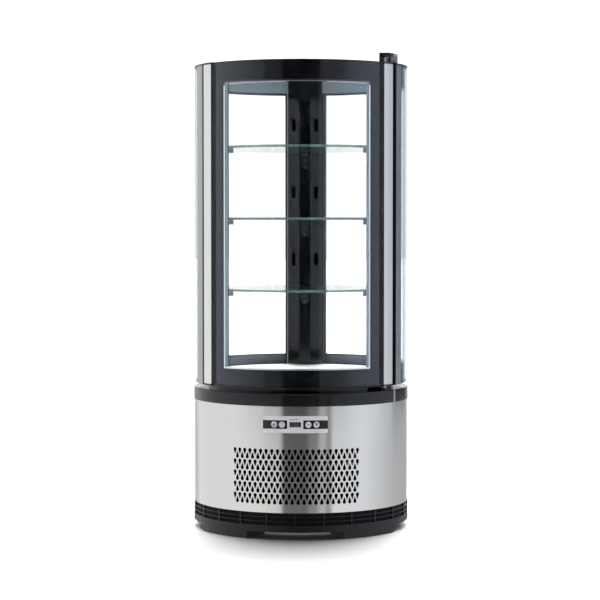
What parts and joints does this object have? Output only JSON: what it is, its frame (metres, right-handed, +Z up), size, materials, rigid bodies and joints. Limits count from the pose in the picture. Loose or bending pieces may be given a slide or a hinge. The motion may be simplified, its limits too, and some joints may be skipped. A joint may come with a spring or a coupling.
{
  "type": "round display fridge",
  "caption": "Round glazed display fridge with a hinged curved glass door, round glass shelves and a steel machine base.",
  "frame": {"origin": "on the floor under the centre of the body", "axes": "+Z up, the door and the control panel face -Y, +X to the right seen from the front"},
  "size_m": [0.45, 0.45, 0.9785],
  "materials": {
    "black_gloss": "gloss black",
    "black_moulded": "satin black moulding",
    "rubber": "matt",
    "galvanised_steel": "zinc grey",
    "brushed_steel": "brushed around the wrap",
    "silver_profile": "fine satin anodised",
    "fasteners": "plated",
    "black_painted_steel": "semi-gloss black",
    "fin_aluminium": "thin fins",
    "copper": "drawn copper",
    "grey_plastic": "satin silver grey",
    "button_plastic": "light grey",
    "circuit_board": "solder mask",
    "foam": "foamed",
    "white_liner": "white liner",
    "dark_liner": "dark liner",
    "glass": "clear tempered"
  },
  "bodies": {
    "root": {"plinth": "black_moulded", "foot_pads": "rubber", "base_pan": "galvanised_steel", "machine_posts": "galvanised_steel", "steel_wrap": "brushed_steel", "rear_panel": "galvanised_steel", "case_screws": "fasteners", "compressor": "black_painted_steel", "compressor_grommets": "rubber", "condenser_coil": "fin_aluminium", "fan_shroud": "galvanised_steel", "condenser_fan_motor": "black_moulded", "refrigerant_tubes": "copper", "drain_pan": "black_moulded", "electrics_box": "grey_plastic", "power_inlet": "black_moulded", "control_bezel": "grey_plastic", "panel_windows": "black_gloss", "controller_board": "circuit_board", "deck_ring": "black_gloss", "ring_joint_strip": "grey_plastic", "deck_tray": "galvanised_steel", "deck_foam": "foam", "deck_floor": "white_liner", "evaporator_coil": "fin_aluminium", "evaporator_fan_motor": "black_moulded", "sill_ring": "black_gloss", "head_ring": "black_gloss", "top_cap": "black_gloss", "top_foam": "foam", "ceiling_liner": "dark_liner", "front_post_left": "black_gloss", "front_post_right": "black_gloss", "light_strips": "white_liner", "rear_column_cover": "black_gloss", "rear_column_back": "black_gloss", "rear_shelf_brackets": "black_moulded", "shelf_clips": "grey_plastic", "shelf_lower": "glass", "shelf_middle": "glass", "shelf_upper": "glass", "side_outer_left": "glass", "side_outer_right": "glass", "side_inner_panes": "glass", "side_spacers": "silver_profile", "hinge_brackets": "black_moulded", "hinge_pins": "fasteners"},
    "door": {"door_outer_glass": "glass", "door_inner_glass": "glass", "door_spacer": "silver_profile", "door_frame": "black_gloss", "door_strips": "silver_profile", "door_end_caps": "black_moulded", "door_gasket": "rubber"},
    "button_power": {"button_power": "button_plastic"},
    "button_light": {"button_light": "button_plastic"},
    "button_down": {"button_down": "button_plastic"},
    "button_up": {"button_up": "button_plastic"},
    "condenser_fan": {"condenser_fan": "grey_plastic"},
    "evaporator_fan": {"evaporator_fan": "black_moulded"}
  },
  "joints": [
    {"name": "door_hinge", "type": "hinge", "parent": "root", "child": "door", "pos_m": [0.17533, -0.12095, 0.63], "axis": [0, 0, 1], "range_deg": [0, 110]},
    {"name": "button_power_press", "type": "slide", "parent": "root", "child": "button_power", "axis": [0.1891, 0.982, 0], "range_m": [0, 0.0008], "stiffness_N_per_m": 600},
    {"name": "button_light_press", "type": "slide", "parent": "root", "child": "button_light", "axis": [0.1175, 0.9931, 0], "range_m": [0, 0.0008], "stiffness_N_per_m": 600},
    {"name": "button_down_press", "type": "slide", "parent": "root", "child": "button_down", "axis": [-0.1175, 0.9931, 0], "range_m": [0, 0.0008], "stiffness_N_per_m": 600},
    {"name": "button_up_press", "type": "slide", "parent": "root", "child": "button_up", "axis": [-0.1891, 0.982, 0], "range_m": [0, 0.0008], "stiffness_N_per_m": 600},
    {"name": "condenser_fan_spin", "type": "hinge", "parent": "root", "child": "condenser_fan", "pos_m": [0, -0.102, 0.0995], "axis": [0, 1, 0], "continuous": true},
    {"name": "evaporator_fan_spin", "type": "hinge", "parent": "root", "child": "evaporator_fan", "pos_m": [0, 0.092, 0.296], "axis": [0, 0, 1], "continuous": true}
  ]
}
